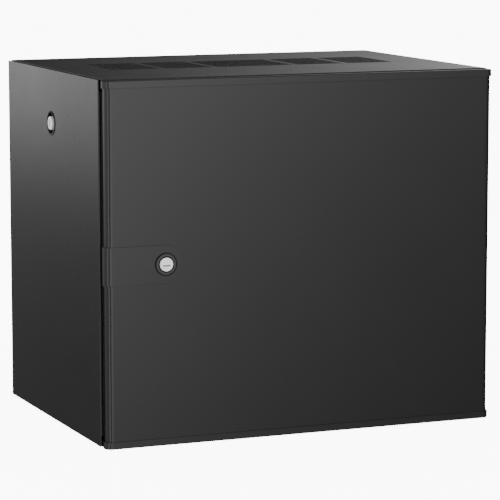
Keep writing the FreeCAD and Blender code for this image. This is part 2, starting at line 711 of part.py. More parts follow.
def door_leaf():
    """The steel leaf: one folded sheet, rounded at its upright edges and hemmed behind."""
    t = PANEL_SHEET
    side = LEAF_SIDE
    a = LEAF_FRONT
    b = LEAF_REAR
    hem = side - LEAF_HEM
    outer = LEAF_RADIUS
    heel = LEAF_BACK_RADIUS
    corners = [(-hem, b, 0), (-side, b, heel), (-side, a, outer), (side, a, outer),
               (side, b, heel), (hem, b, 0), (hem, b - t, 0), (side - t, b - t, heel - t),
               (side - t, a + t, outer - t), (-side + t, a + t, outer - t),
               (-side + t, b - t, heel - t), (-hem, b - t, 0)]
    leaf = plan(corners, LEAF_BOTTOM, LEAF_TOP)
    cutters = [door_lock_hole(DOOR_BARREL_RADIUS + BARREL_GAP)]
    clear = PIVOT_X - LEAF_HEM
    for z0, z1 in ((0, LEAF_BOTTOM + HINGE_SLOT), (LEAF_TOP - HINGE_SLOT, HEIGHT)):
        cutters.append(block(clear, SIDE, PIVOT_Y - ARM_BOSS - 2 * SEAT_GAP, LEAF_REAR + 1, z0, z1))
    return without(leaf, cutters)


def door_lock_hole(radius):
    start = FreeCAD.Vector(DOOR_LOCK_X, FACE - 1, MIDDLE)
    return rod(radius, start, start + Y * CAP_DEPTH)


def lock_plate():
    """A moulded pad wrapped round the door's left edge, level with the caps."""
    r = LOCK_PLATE_RADIUS
    pad = [(-SIDE, MIDDLE - r, 0), (DOOR_LOCK_X + r, MIDDLE - r, r),
           (DOOR_LOCK_X + r, MIDDLE + r, r), (-SIDE, MIDDLE + r, 0)]
    stadium = section(pad, FACE - 1, LEAF_REAR)
    skin = plan(cap_corners(), MIDDLE - r, MIDDLE + r)
    side = LEAF_SIDE
    inside = [(-side, LEAF_FRONT, LEAF_RADIUS), (side, LEAF_FRONT, LEAF_RADIUS),
              (side, LEAF_REAR + 1, 0), (-side, LEAF_REAR + 1, 0)]
    leaf = plan(inside, MIDDLE - r - 1, MIDDLE + r + 1)
    hole = door_lock_hole(DOOR_RING_RADIUS + DOOR_RING_GROOVE)
    return skin.common(stadium).cut(leaf).cut(hole)


def door_stiffeners():
    foot = LEAF_FRONT + PANEL_SHEET
    half = STIFFENER_TOP / 2
    rise = foot + STIFFENER_DEPTH
    hats = []
    for x in (-STIFFENER_AT, STIFFENER_AT):
        path = [(x - half - STIFFENER_FOOT, foot), (x - half, foot), (x - half, rise),
                (x + half, rise), (x + half, foot), (x + half + STIFFENER_FOOT, foot)]
        low = LEAF_BOTTOM + STIFFENER_END
        hats.append(plan(folded(path, STIFFENER_SHEET), low, HEIGHT - low))
    return Part.makeCompound(hats)


def door_buffers():
    buffers = []
    x = -(LEAF_SIDE - LEAF_HEM / 2)
    for z in (FLANGE_BOTTOM + BUFFER_FROM_END, FLANGE_TOP - BUFFER_FROM_END):
        foot = FreeCAD.Vector(x, LEAF_REAR, z)
        buffers.append(rod(BUFFER_RADIUS, foot, FreeCAD.Vector(x, LID_FRONT - SEAT_GAP, z)))
    return Part.makeCompound(buffers)


# ---------------------------------------------------------------- side panels
def side_panel_left():
    """A flat sheet with its front and rear edges folded in, hung at the foot, locked above."""
    t = PANEL_SHEET
    inner = -SIDE + SIDE_RETURN
    path = [(inner, BACK), (-SIDE, BACK), (-SIDE, SIDE_FRONT), (inner, SIDE_FRONT)]
    panel = plan(folded(path, t, SIDE_BEND), SIDE_BOTTOM_GAP, SIDE_TOP)
    reach = LID_FLANGE + SIDE_RETURN_GAP
    ends = []
    for z0, z1 in ((0, reach), (HEIGHT - reach, HEIGHT)):
        ends.append(block(-SIDE + t, 0, FACE, BACK + 1, z0, z1))
    start = FreeCAD.Vector(-SIDE - 1, SIDE_MIDDLE, SIDE_LOCK_Z)
    ends.append(rod(SIDE_BARREL_RADIUS + BARREL_GAP, start, start + X * (2 + t)))
    return without(panel, ends)


def side_hooks_left():
    """Two hooks welded inside the panel's foot; each drops behind the bottom panel's edge."""
    t = FRAME_SHEET
    seat = LID_FLANGE + SEAT_GAP
    plate = -SIDE + PANEL_SHEET
    leg = -LID_SIDE + PANEL_SHEET + SEAT_GAP
    path = [(plate, seat + HOOK_PLATE), (plate, seat), (leg, seat), (leg, seat - HOOK_LEG)]
    hooks = []
    for y in (SIDE_MIDDLE - HOOK_FROM_MIDDLE, SIDE_MIDDLE + HOOK_FROM_MIDDLE):
        hooks.append(section(folded(path, t, BEND / 2), y - HOOK_WIDTH / 2, y + HOOK_WIDTH / 2))
    return Part.makeCompound(hooks)


# ---------------------------------------------------------------- locks
# Each lock piece is made with its axis on +Z, its panel's outside at z = 0, and the cam
# pointing along +X; onto_door and onto_side then put it in place.
def onto_door(shape):
    turn = FreeCAD.Rotation(Z, -X, -Y, "ZXY")
    shape.Placement = FreeCAD.Placement(FreeCAD.Vector(DOOR_LOCK_X, FACE, MIDDLE), turn)
    return shape


def onto_side(shape):
    turn = FreeCAD.Rotation(-Y, Z, -X, "ZXY")
    shape.Placement = FreeCAD.Placement(FreeCAD.Vector(-SIDE, SIDE_MIDDLE, SIDE_LOCK_Z), turn)
    return shape


def at(z):
    return FreeCAD.Vector(0, 0, z)


def lock_housing(ring, barrel, dish, length):
    """ring is (radius, seat, height), dish is (radius, floor); the barrel runs back from z = 0."""
    radius, seat, height = ring
    rim = rod(radius, at(seat), at(height))
    rim = rim.makeChamfer(RING_EDGE, edges_at(rim, lambda p: p.z > height - RING_EDGE / 2))
    housing = fused([rim, rod(barrel, at(-length), at(seat))])
    sunk = rod(dish[0], at(dish[1]), at(height + 1))
    bore = rod(PLUG_RADIUS + RUNNING_GAP, at(-length - 1), at(height + 1))
    return without(housing, [sunk, bore])


def lock_nut(barrel_radius, seat):
    outer = rod(barrel_radius + LOCK_NUT_RIM, at(seat - LOCK_NUT_HEIGHT), at(seat))
    nut = outer.cut(rod(barrel_radius, at(seat - LOCK_NUT_HEIGHT), at(seat)))
    flats = []
    reach = barrel_radius + LOCK_NUT_RIM
    for side in (-1, 1):
        x = side * (reach - LOCK_NUT_FLAT)
        x0, x1 = min(x, side * reach), max(x, side * reach)
        flats.append(block(x0, x1, -reach, reach, seat - LOCK_NUT_HEIGHT, seat))
    return without(nut, flats)


def lock_plug(proud, cam_seat):
    plug = rod(PLUG_RADIUS, at(-cam_seat), at(proud))
    plug = plug.makeChamfer(RING_EDGE, edges_at(plug, lambda p: p.z > proud - 0.1))
    half = CAM_SQUARE / 2
    tail = block(-half, half, -half, half, -cam_seat - CAM_SHEET, -cam_seat)
    keyway = block(-KEYWAY_OFF - KEYWAY_WIDTH / 2, -KEYWAY_OFF + KEYWAY_WIDTH / 2,
                   -KEYWAY_LENGTH / 2, KEYWAY_LENGTH / 2, proud - KEYWAY_DEPTH, proud + 1)
    return fused([plug, tail]).cut(keyway)


def lock_cam(length, cam_seat):
    run = length - CAM_TIP
    hub = rod(CAM_HUB, at(-cam_seat - CAM_SHEET), at(-cam_seat))
    arm = plan([(0, -CAM_HUB, 0), (run, -CAM_TIP, 0), (run, CAM_TIP, 0), (0, CAM_HUB, 0)],
               -cam_seat - CAM_SHEET, -cam_seat)
    tip = rod(CAM_TIP, FreeCAD.Vector(run, 0, -cam_seat - CAM_SHEET),
              FreeCAD.Vector(run, 0, -cam_seat))
    half = CAM_SQUARE / 2
    square = block(-half, half, -half, half, -cam_seat - CAM_SHEET, -cam_seat)
    return fused([hub, arm, tip]).cut(square)


def lock_screw(cam_seat):
    seat = -cam_seat - CAM_SHEET
    return rod(LOCK_SCREW_RADIUS, at(seat - BAR_SCREW_HEAD_HEIGHT), at(seat))


DOOR_CAM_SEAT = HEM_REAR - FACE + CAM_GAP
SIDE_CAM_SEAT = SIDE - POST_X + FRAME_SHEET + CAM_GAP
DOOR_BARREL = DOOR_CAM_SEAT - CAM_GAP - BEND
SIDE_BARREL = SIDE_CAM_SEAT - CAM_GAP - BEND


def door_lock_housing():
    ring = (DOOR_RING_RADIUS, -LEAF_STEP, DOOR_RING_HEIGHT)
    dish = (DOOR_DISH_RADIUS, -DOOR_DISH_DEPTH)
    return onto_door(lock_housing(ring, DOOR_BARREL_RADIUS, dish, DOOR_BARREL))


def side_lock_housing():
    ring = (SIDE_RING_RADIUS, 0, SIDE_RING_HEIGHT)
    dish = (SIDE_DISH_RADIUS, -SIDE_DISH_DEPTH)
    return onto_side(lock_housing(ring, SIDE_BARREL_RADIUS, dish, SIDE_BARREL))


# ---------------------------------------------------------------- earth studs
def frame_stud_line():
    foot = FreeCAD.Vector(SIDE - STUD_FROM_SIDE, FACE + STUD_SETBACK, PANEL_SHEET)
    return foot, Z, STUD_LENGTH


def door_stud_line():
    foot = FreeCAD.Vector(SIDE - STUD_FROM_SIDE, LEAF_FRONT + PANEL_SHEET, STUD_SETBACK)
    return foot, Y, DOOR_STUD_LENGTH


def earth_stud(foot, axis, length):
    return rod(STUD_RADIUS, foot, foot + axis * length)


def earth_nut(foot, axis, length):
    seat = foot + axis * STUD_WASHER_HEIGHT
    nut = hexagon(STUD_NUT_FLATS, STUD_NUT_HEIGHT, seat, axis)
    washer = rod(STUD_WASHER_RADIUS, foot, seat)
    return fused([nut, washer]).cut(earth_stud(foot, axis, length))


# ---------------------------------------------------------------- every piece by name
def pieces():
    front_left = drilled_post(front_post_left())
    rear_left = drilled_post(rear_post_left())
    bar_left = bar_upper_left()
    rail_front = rack_rail(RACK_FACE, 1)
    rail_rear = rack_rail(REAR_RACK_FACE, -1)
    panel = side_panel_left()
    hooks = side_hooks_left()
    arm = hinge_arm_upper()
    pin = hinge_pin_upper()
    washer = hinge_washer_upper()
    cap = door_top_cap()
    housing = side_lock_housing()
    nut = onto_side(lock_nut(SIDE_BARREL_RADIUS, -PANEL_SHEET))
    plug = onto_side(lock_plug(SIDE_PLUG_PROUD, SIDE_CAM_SEAT))
    cam = onto_side(lock_cam(SIDE_CAM_LENGTH, SIDE_CAM_SEAT))
    screw = onto_side(lock_screw(SIDE_CAM_SEAT))
    made = {
        "top_panel": top_panel(),
        "bottom_panel": bottom_panel(),
        "back_panel": back_panel(),
        "top_entry_cover": top_entry_cover(),
        "bottom_entry_trim": bottom_entry_trim(),
        "front_post_left": front_left,
        "front_post_right": mirrored(front_left),
        "rear_post_left": rear_left,
        "rear_post_right": mirrored(rear_left),
        "rail_bar_upper_left": bar_left,
        "rail_bar_upper_right": mirrored(bar_left),
        "rail_bar_lower_left": upside_down(bar_left),
        "rail_bar_lower_right": mirrored(upside_down(bar_left)),
        "rack_rail_front_left": rail_front,
        "rack_rail_front_right": mirrored(rail_front),
        "rack_rail_rear_left": rail_rear,
        "rack_rail_rear_right": mirrored(rail_rear),
        "bar_end_plates": bar_end_plates(),
        "bar_screws": bar_screws(),
        "rail_bolts": rail_bolts(),
        "rail_nuts": rail_nuts(),
        "cage_nuts": cage_nuts(),
        "hinge_arm_upper": arm,
        "hinge_arm_lower": upside_down(arm),
        "hinge_pin_upper": pin,
        "hinge_pin_lower": upside_down(pin),
        "hinge_washers": Part.makeCompound([washer, upside_down(washer)]),
        "frame_earth_stud": earth_stud(*frame_stud_line()),
        "frame_earth_nut": earth_nut(*frame_stud_line()),
        "door_leaf": door_leaf(),
        "door_top_cap": cap,
        "door_bottom_cap": upside_down(cap),
        "door_stiffeners": door_stiffeners(),
        "door_buffers": door_buffers(),
        "lock_plate": lock_plate(),
        "door_lock_housing": door_lock_housing(),
        "door_lock_nut": onto_door(lock_nut(DOOR_BARREL_RADIUS, -LEAF_STEP - PANEL_SHEET)),
        "door_lock_plug": onto_door(lock_plug(LOCK_PROUD, DOOR_CAM_SEAT)),
        "door_lock_cam": onto_door(lock_cam(DOOR_CAM_LENGTH, DOOR_CAM_SEAT)),
        "door_lock_screw": onto_door(lock_screw(DOOR_CAM_SEAT)),
        "door_earth_stud": earth_stud(*door_stud_line()),
        "door_earth_nut": earth_nut(*door_stud_line()),
    }
    for name, shape in (("side_panel", panel), ("side_hooks", hooks), ("side_lock_housing", housing),
                        ("side_lock_nut", nut), ("side_lock_plug", plug), ("side_lock_cam", cam),
                        ("side_lock_screw", screw)):
        made[name + "_left"] = shape
        made[name + "_right"] = mirrored(shape)
    return made


os.makedirs("parts", exist_ok=True)
for name, shape in pieces().items():
    shape.exportStep("parts/" + name + ".step")
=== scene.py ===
import bpy
import math
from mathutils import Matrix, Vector


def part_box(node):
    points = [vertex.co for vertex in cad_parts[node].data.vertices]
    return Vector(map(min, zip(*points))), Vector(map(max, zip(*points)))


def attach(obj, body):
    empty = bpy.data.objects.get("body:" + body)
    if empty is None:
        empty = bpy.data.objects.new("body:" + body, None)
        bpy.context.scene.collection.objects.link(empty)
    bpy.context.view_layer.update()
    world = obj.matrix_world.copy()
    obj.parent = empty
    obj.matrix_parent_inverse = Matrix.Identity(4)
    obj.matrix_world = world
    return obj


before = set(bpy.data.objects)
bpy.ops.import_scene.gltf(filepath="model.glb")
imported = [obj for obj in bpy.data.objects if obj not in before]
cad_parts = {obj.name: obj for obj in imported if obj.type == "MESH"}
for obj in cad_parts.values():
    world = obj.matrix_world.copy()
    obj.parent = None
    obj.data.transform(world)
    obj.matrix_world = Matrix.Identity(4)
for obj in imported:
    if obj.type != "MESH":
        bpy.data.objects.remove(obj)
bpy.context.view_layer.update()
MM = 0.001


# ---------------------------------------------------------------- view
# A long lens looks down a little on the left front corner, so that the door, the left
# side and a thin slice of the top show together.
lens = bpy.data.cameras.new("view")
lens.lens = 189.958
lens.sensor_width = 36.0
lens.clip_end = 50.0
camera = bpy.data.objects.new("view", lens)
camera.location = (-1.48183, -3.62604, 0.79911)
camera.rotation_euler = (math.radians(81.8565), 0.0, math.radians(-22.3145))
bpy.context.scene.collection.objects.link(camera)
bpy.context.scene.camera = camera


# ---------------------------------------------------------------- studio
# A white floor that runs up into a white wall, under a white sky, with large soft
# panels of light. Dark semi-gloss paint shows mostly what it mirrors.
FLOOR_HALF = 15.0
FLOOR_STEPS = 60
WALL_AT = 12.5
WALL_CURVE = 3.0
FLOOR_GLOW = 9.0
SKY = 1.25
MIRRORED_SKY = 0.15


class Value:
    """An output socket that adds Math nodes when it is used in arithmetic."""

    def __init__(self, finish, socket):
        self.finish = finish
        self.socket = socket

    def of(self, name):
        return Value(self.finish, self.socket.node.outputs[name])

    def __add__(self, other):
        return self.finish.math_of("ADD", self, other)

    def __sub__(self, other):
        return self.finish.math_of("SUBTRACT", self, other)

    def __rsub__(self, other):
        return self.finish.math_of("SUBTRACT", other, self)

    def __mul__(self, other):
        return self.finish.math_of("MULTIPLY", self, other)

    def __truediv__(self, other):
        return self.finish.math_of("DIVIDE", self, other)

    __radd__ = __add__
    __rmul__ = __mul__


class Finish:
    """One material. The method node adds all its nodes."""

    def __init__(self, name, **constants):
        self.material = bpy.data.materials.new(name)
        self.material.use_nodes = True
        self.tree = self.material.node_tree
        self.shader = self.tree.nodes["Principled BSDF"]
        for socket, value in constants.items():
            self.shader.inputs[socket.replace("_", " ")].default_value = value

    def node(self, kind, settings, inputs):
        node = self.tree.nodes.new(kind)
        for name, value in settings.items():
            if name == "stops":
                self.set_stops(node.color_ramp, value)
            else:
                setattr(node, name, value)
        for name, value in inputs.items():
            self.feed(node.inputs[name], value)
        return Value(self, node.outputs[0])

    def set_stops(self, ramp, stops):
        while len(ramp.elements) < len(stops):
            ramp.elements.new(0.5)
        for element, (place, shade) in zip(ramp.elements, stops):
            element.position = place
            element.color = (shade, shade, shade, 1.0)

    def feed(self, socket, value):
        if isinstance(value, Value):
            self.tree.links.new(value.socket, socket)
        else:
            socket.default_value = value

    def surface(self, **inputs):
        for name, value in inputs.items():
            self.feed(self.shader.inputs[name.replace("_", " ")], value)

    def place(self):
        return self.node("ShaderNodeTexCoord", {}, {}).of("Object")

    def math_of(self, operation, first, second):
        return self.node("ShaderNodeMath", {"operation": operation}, {0: first, 1: second})

    def noise(self, place, scale, detail=2.0, roughness=0.5):
        inputs = {"Vector": place, "Scale": scale, "Detail": detail, "Roughness": roughness}
        return self.node("ShaderNodeTexNoise", {}, inputs)

    def ramp(self, value, *stops):
        """Each stop is a value and the shade that it gives."""
        return self.node("ShaderNodeValToRGB", {"stops": stops}, {"Fac": value})


def grey(level):
    return (level, level, level, 1.0)


floor_paint = Finish("studio_floor", Base_Color=grey(0.90), Emission_Color=grey(1.0),
                     Emission_Strength=FLOOR_GLOW)
floor_clouds = floor_paint.noise(floor_paint.place(), scale=4.0)
floor_paint.surface(Roughness=0.8 + 0.1 * floor_clouds)

bpy.ops.object.select_all(action="DESELECT")
bpy.ops.mesh.primitive_grid_add(x_subdivisions=1, y_subdivisions=FLOOR_STEPS, size=1.0)
floor = bpy.context.object
floor.name = "studio_floor"
flat = WALL_AT - WALL_CURVE
arc = WALL_CURVE * math.pi / 2
run = FLOOR_HALF + WALL_AT + arc + FLOOR_HALF
for vertex in floor.data.vertices:
    along = (vertex.co.y + 0.5) * run - FLOOR_HALF
    turned = min(max((along - flat) / WALL_CURVE, 0.0), math.pi / 2)
    rise = max(along - flat - arc, 0.0)
    vertex.co.x *= 4 * FLOOR_HALF
    vertex.co.y = min(along, flat) + WALL_CURVE * math.sin(turned)
    vertex.co.z = WALL_CURVE * (1 - math.cos(turned)) + rise
bpy.ops.object.shade_smooth()
floor.data.materials.append(floor_paint.material)
floor.visible_glossy = False
floor.visible_diffuse = False

ALONG_X = Vector((1.0, 0.0, 0.0))
ALONG_Y = Vector((0.0, 1.0, 0.0))
UP = Vector((0.0, 0.0, 1.0))


def reflector(name, corner, run, width, height, glow):
    """A card that only mirrors see. glow(finish, place) gives its light over its face."""
    card = Finish(name, Base_Color=grey(0.0), Specular_IOR_Level=0.0, Emission_Strength=1.0)
    card.surface(Emission_Color=glow(card, card.place()))
    first = Vector(corner)
    second = first + run * width
    rise = UP * height
    mesh = bpy.data.meshes.new(name)
    mesh.from_pydata([first, second, second + rise, first + rise], [], [(0, 1, 2, 3)])
    mesh.materials.append(card.material)
    panel = bpy.data.objects.new(name, mesh)
    panel.visible_camera = False
    panel.visible_diffuse = False
    panel.visible_shadow = False
    bpy.context.scene.collection.objects.link(panel)


def axis_of(finish, place, axis):
    return finish.node("ShaderNodeSeparateXYZ", {}, {"Vector": place}).of(axis)


def falloff(finish, distance, level, steepness, most):
    """Light of a level at distance 0, e times that at 1 / steepness, and never over most."""
    growth = finish.math_of("POWER", math.exp(steepness), distance)
    return finish.math_of("MINIMUM", growth * level, most)


def between(finish, value, dark, bright, level=1.0):
    """Light that rises evenly from none at dark to level at bright."""
    return finish.node("ShaderNodeMapRange", {}, {
        "Value": value, "From Min": dark, "From Max": bright, "To Max": level})


FRONT_MIDDLE = 0.41
FRONT_FOOT = 0.10
FRONT_RISE_LEFT = 1.45
FRONT_RISE_UP = 1.35
FRONT_GAP = ((0.0, 1.0), (0.42, 1.0), (0.50, 0.0), (0.66, 0.0), (0.74, 1.0))


def front_glow(finish, place):
    """Rises to the left and upwards, with a dark gap at its left and a faint right end."""
    x = axis_of(finish, place, "X")
    z = axis_of(finish, place, "Z")
    rise = FRONT_RISE_LEFT * (FRONT_MIDDLE - x) + FRONT_RISE_UP * (z - FRONT_FOOT)
    wash = falloff(finish, rise, level=0.84, steepness=1.0, most=2.2)
    gap = finish.ramp(between(finish, x, dark=-2.0, bright=0.0), *FRONT_GAP)
    return wash * gap + between(finish, x, dark=1.2, bright=1.9, level=0.2)


LEFT_HAZE = 0.085
LEFT_RISE = 3.6
LEFT_START = 0.03
LEFT_MOST = 1.3


def left_glow(finish, place):
    """A haze low down and a steep rise above it, both stronger towards the back, with an
    even light over the front part."""
    y = axis_of(finish, place, "Y")
    z = axis_of(finish, place, "Z")
    haze = LEFT_HAZE + falloff(finish, z, level=0.122, steepness=5.0, most=0.8)
    bright = finish.math_of("MINIMUM", LEFT_RISE * z - LEFT_START, LEFT_MOST)
    wash = falloff(finish, y, level=0.33, steepness=0.57, most=2.0)
    wash = wash * finish.math_of("MAXIMUM", haze, bright)
    return wash + between(finish, y, dark=1.1, bright=0.5, level=0.5)


REAR_MIDDLE = 0.44


def rear_glow(finish, place):
    """Rises to the right."""
    x = axis_of(finish, place, "X")
    return falloff(finish, x - REAR_MIDDLE, level=0.21, steepness=2.4, most=0.9)


RIGHT_GLOW = 0.35


def right_glow(finish, place):
    """Dark beside the cabinet, and lit behind it and below it."""
    behind = between(finish, axis_of(finish, place, "Y"), dark=1.3, bright=1.9, level=RIGHT_GLOW)
    below = between(finish, axis_of(finish, place, "Z"), dark=-0.3, bright=-0.6, level=RIGHT_GLOW)
    return finish.math_of("MAXIMUM", behind, below)


def even_glow(level):
    return lambda finish, place: grey(level)


reflector("card_front", (-2.0, -1.22, -1.6), ALONG_X, width=4.4, height=3.4, glow=front_glow)
reflector("card_left", (-0.95, -0.6, -1.2), ALONG_Y, width=4.1, height=1.95, glow=left_glow)
reflector("card_rear", (-0.35, 1.1, 0.2), ALONG_X, width=2.4, height=1.6, glow=rear_glow)
reflector("card_right", (1.9, -1.2, -1.6), ALONG_Y, width=4.6, height=2.5, glow=right_glow)
reflector("card_rear_low", (-0.45, 2.6, -1.4), ALONG_X, width=2.9, height=1.7,
          glow=even_glow(0.35))
reflector("card_back", (-1.6, 2.4, 0.5), ALONG_X, width=2.4, height=1.3, glow=even_glow(1.0))

sky = bpy.data.worlds.new("studio_sky")
sky.use_nodes = True
sky_glow = sky.node_tree.nodes["Background"]
sky_glow.inputs["Color"].default_value = grey(1.0)
ray = sky.node_tree.nodes.new("ShaderNodeLightPath")
strength = sky.node_tree.nodes.new("ShaderNodeMapRange")
strength.inputs["To Min"].default_value = SKY
strength.inputs["To Max"].default_value = MIRRORED_SKY
sky.node_tree.links.new(ray.outputs["Is Glossy Ray"], strength.inputs["Value"])
sky.node_tree.links.new(strength.outputs["Result"], sky_glow.inputs["Strength"])
bpy.context.scene.world = sky


# ---------------------------------------------------------------- black powder coat
# Cold rolled sheet, folded, spot welded and powder coated in a semi-gloss black. The coat
# has a fine orange peel, thins to a greyer line along worn folds, and shows faint handling.
# Deep in the gaps and corners the coat is painted a dead matt, darker black: painted shade.
COAT = 0.010
COAT_GLOSS = 0.24
COAT_FOLD = 0.5 * MM
COAT_PEEL = 0.35
COAT_PEEL_DEPTH = 0.03 * MM
COAT_SHADE_REACH = 9.0 * MM


def mix(finish, amount, first, second):
    return finish.node("ShaderNodeMix", {"data_type": "RGBA"},
                       {"Factor": amount, 6: first, 7: second}).of(2)


def vectors(finish, operation, *inputs):
    settings = {"operation": operation}
    return finish.node("ShaderNodeVectorMath", settings, dict(enumerate(inputs)))


def rounded(finish, radius, samples=4):
    """Which way the surface faces, with its edges rounded to a radius."""
    return finish.node("ShaderNodeBevel", {"samples": samples}, {"Radius": radius})


def relief(finish, height, strength, depth, under=None):
    """Which way the surface faces, with a relief pressed into it."""
    inputs = {"Strength": strength, "Distance": depth, "Height": height}
    if under is not None:
        inputs["Normal"] = under
    return finish.node("ShaderNodeBump", {}, inputs)


def edge_line(finish, round_edge, wide):
    """1 along the edges that round_edge turns, and 0 on the flats."""
    flat_face = finish.node("ShaderNodeNewGeometry", {}, {}).of("True Normal")
    turn = vectors(finish, "DOT_PRODUCT", round_edge, flat_face).of("Value")
    return finish.ramp(1 - turn, (0.02, 0.0), (wide, 1.0))


def shade_in_gaps(finish, reach, shut, clear, level):
    """Paints shade into gaps: dead matt and darker where little air is open within reach, all of
    it at shut and none at clear.
    """
    air = finish.node("ShaderNodeAmbientOcclusion", {"samples": 6}, {"Distance": reach})
    shade_depth = finish.ramp(air.of("AO"), (shut, 1.0), (clear, 0.0))
    painted_shade = finish.node("ShaderNodeBsdfDiffuse", {}, {"Color": grey(level)})
    glossy = Value(finish, finish.shader.outputs["BSDF"])
    mixed = finish.node("ShaderNodeMixShader", {}, {0: shade_depth, 1: glossy, 2: painted_shade})
    finish.feed(finish.tree.nodes["Material Output"].inputs["Surface"], mixed)


def powder_coat(name):
    coat = Finish(name, Specular_IOR_Level=0.5)
    place = coat.place()
    clouds = coat.noise(place, scale=7.0, detail=4.0, roughness=0.55)
    peel = coat.noise(place, scale=1400.0, detail=2.0, roughness=0.6)
    handling = coat.noise(place, scale=55.0, detail=6.0, roughness=0.7)
    marks = coat.ramp(handling, (0.52, 0.0), (0.75, 1.0))
    round_edge = rounded(coat, COAT_FOLD)
    wear = edge_line(coat, round_edge, wide=0.22) * coat.ramp(clouds, (0.35, 0.2), (0.7, 1.0))
    colour = mix(coat, clouds * 0.6, grey(COAT * 0.85), grey(COAT * 1.2))
    colour = mix(coat, wear * 0.45, colour, grey(COAT * 3.2))
    coat.surface(Base_Color=colour,
                 Roughness=COAT_GLOSS + 0.10 * (clouds - 0.5) + 0.05 * marks - 0.05 * wear,
                 Normal=relief(coat, peel, COAT_PEEL, COAT_PEEL_DEPTH, round_edge))
    # Painted shade: dead matt and darker deep in gaps and corners.
    shade_in_gaps(coat, COAT_SHADE_REACH, shut=0.30, clear=0.60, level=COAT * 0.4)
    return coat.material


def dress(material, *nodes):
    """Gives CAD nodes a material in place of the plain one."""
    for node in nodes:
        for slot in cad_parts[node].material_slots:
            slot.material = material


# Each side and the way that it faces along x.
SIDES = {"left": -1, "right": 1}
body_coat = powder_coat("powder_coat_body")
dress(body_coat, "top_panel", "bottom_panel", "back_panel", "top_entry_cover", "bar_end_plates")
for side in SIDES:
    dress(body_coat, "front_post_" + side, "rear_post_" + side, "rail_bar_upper_" + side,
          "rail_bar_lower_" + side, "side_panel_" + side, "side_hooks_" + side)
dress(body_coat, "hinge_arm_upper", "hinge_arm_lower", "door_leaf", "door_stiffeners")


# ---------------------------------------------------------------- door caps and lock plate
# Injection moulded end caps and the pad round the lock, in a black plastic made to match the
# coat. The mould leaves a fine even grain; touching polishes it a little.
CAP_BLACK = 0.0105
CAP_GLOSS = 0.25
CAP_EDGE = 0.4 * MM
CAP_GRAIN = 0.25
CAP_GRAIN_DEPTH = 0.01 * MM


def cells(finish, place, scale):
    return finish.node("ShaderNodeTexVoronoi", {"feature": "SMOOTH_F1"},
                       {"Vector": place, "Scale": scale})


def moulded_plastic(name):
    plastic = Finish(name, Specular_IOR_Level=0.5)
    place = plastic.place()
    clouds = plastic.noise(place, scale=11.0, detail=3.0, roughness=0.5)
    grain = cells(plastic, place, scale=1300.0)
    handling = plastic.noise(place, scale=30.0, detail=5.0, roughness=0.65)
    touched = plastic.ramp(handling, (0.5, 0.0), (0.8, 1.0))
    round_edge = rounded(plastic, CAP_EDGE)
    plastic.surface(Base_Color=mix(plastic, clouds, grey(CAP_BLACK * 0.85), grey(CAP_BLACK * 1.2)),
                    Roughness=CAP_GLOSS + 0.08 * (clouds - 0.5) - 0.06 * touched,
                    Normal=relief(plastic, grain, CAP_GRAIN, CAP_GRAIN_DEPTH, round_edge))
    return plastic.material


dress(moulded_plastic("cap_plastic"), "door_top_cap", "door_bottom_cap", "lock_plate")


# ---------------------------------------------------------------- lock housings
# The housings are die cast and sprayed gloss black, with the ring nut behind in the same
# black. Casting leaves a faint ripple, and the rim is rubbed by keys and fingers.
LOCK_BLACK = 0.006
LOCK_EDGE = 0.6 * MM
LOCK_RIPPLE = 0.2
LOCK_RIPPLE_DEPTH = 0.05 * MM
LOCK_SHADE_REACH = 3.0 * MM
SIDE_DISH = 0.35
# How much x, y and z count in the distance from a line along x, and from one along y.
ROUND_X = (0.0, 1.0, 1.0)
ROUND_Y = (1.0, 0.0, 1.0)


def from_middle(finish, place, node, across):
    """How far a place is from a node's axis; across says how much each axis counts."""
    low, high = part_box(node)
    middle = (Vector(low) + Vector(high)) / 2
    arm = vectors(finish, "MULTIPLY", vectors(finish, "SUBTRACT", place, middle), across)
    return vectors(finish, "LENGTH", arm).of("Value")


def black_casting(name, node, across, gloss, shine, dish):
    """dish is the slope at which the ring's face falls towards the plug."""
    casting = Finish(name, Specular_IOR_Level=shine, Coat_Roughness=0.08)
    place = casting.place()
    ripple = casting.noise(place, scale=90.0, detail=3.0, roughness=0.5)
    rubbed = casting.noise(place, scale=240.0, detail=4.0, roughness=0.7)
    rubbed = casting.ramp(rubbed, (0.55, 0.0), (0.78, 1.0))
    round_edge = rounded(casting, LOCK_EDGE, samples=6)
    cone = from_middle(casting, place, node, across) * dish
    fall = relief(casting, cone, strength=1.0, depth=1.0, under=round_edge)
    casting.surface(Base_Color=mix(casting, rubbed * 0.3, grey(LOCK_BLACK), grey(LOCK_BLACK * 3)),
                    Roughness=gloss + 0.10 * rubbed + 0.04 * ripple,
                    Coat_Weight=shine - 0.6 * shine * rubbed,
                    Normal=relief(casting, ripple, LOCK_RIPPLE, LOCK_RIPPLE_DEPTH, fall))
    # Painted shade: the casting turns dead matt and darker in its gaps and corners, such as round
    # the plug.
    shade_in_gaps(casting, LOCK_SHADE_REACH, shut=0.35, clear=0.75, level=LOCK_BLACK * 0.4)
    return casting.material


door_black = black_casting("lock_black_door", "door_lock_housing", ROUND_Y,
                           gloss=0.16, shine=0.5, dish=0.0)
dress(door_black, "door_lock_housing", "door_lock_nut")
for side in SIDES:
    housing = "side_lock_housing_" + side
    side_black = black_casting("lock_black_" + side, housing, ROUND_X,
                               gloss=0.30, shine=0.12, dish=SIDE_DISH)
    dress(side_black, housing, "side_lock_nut_" + side)
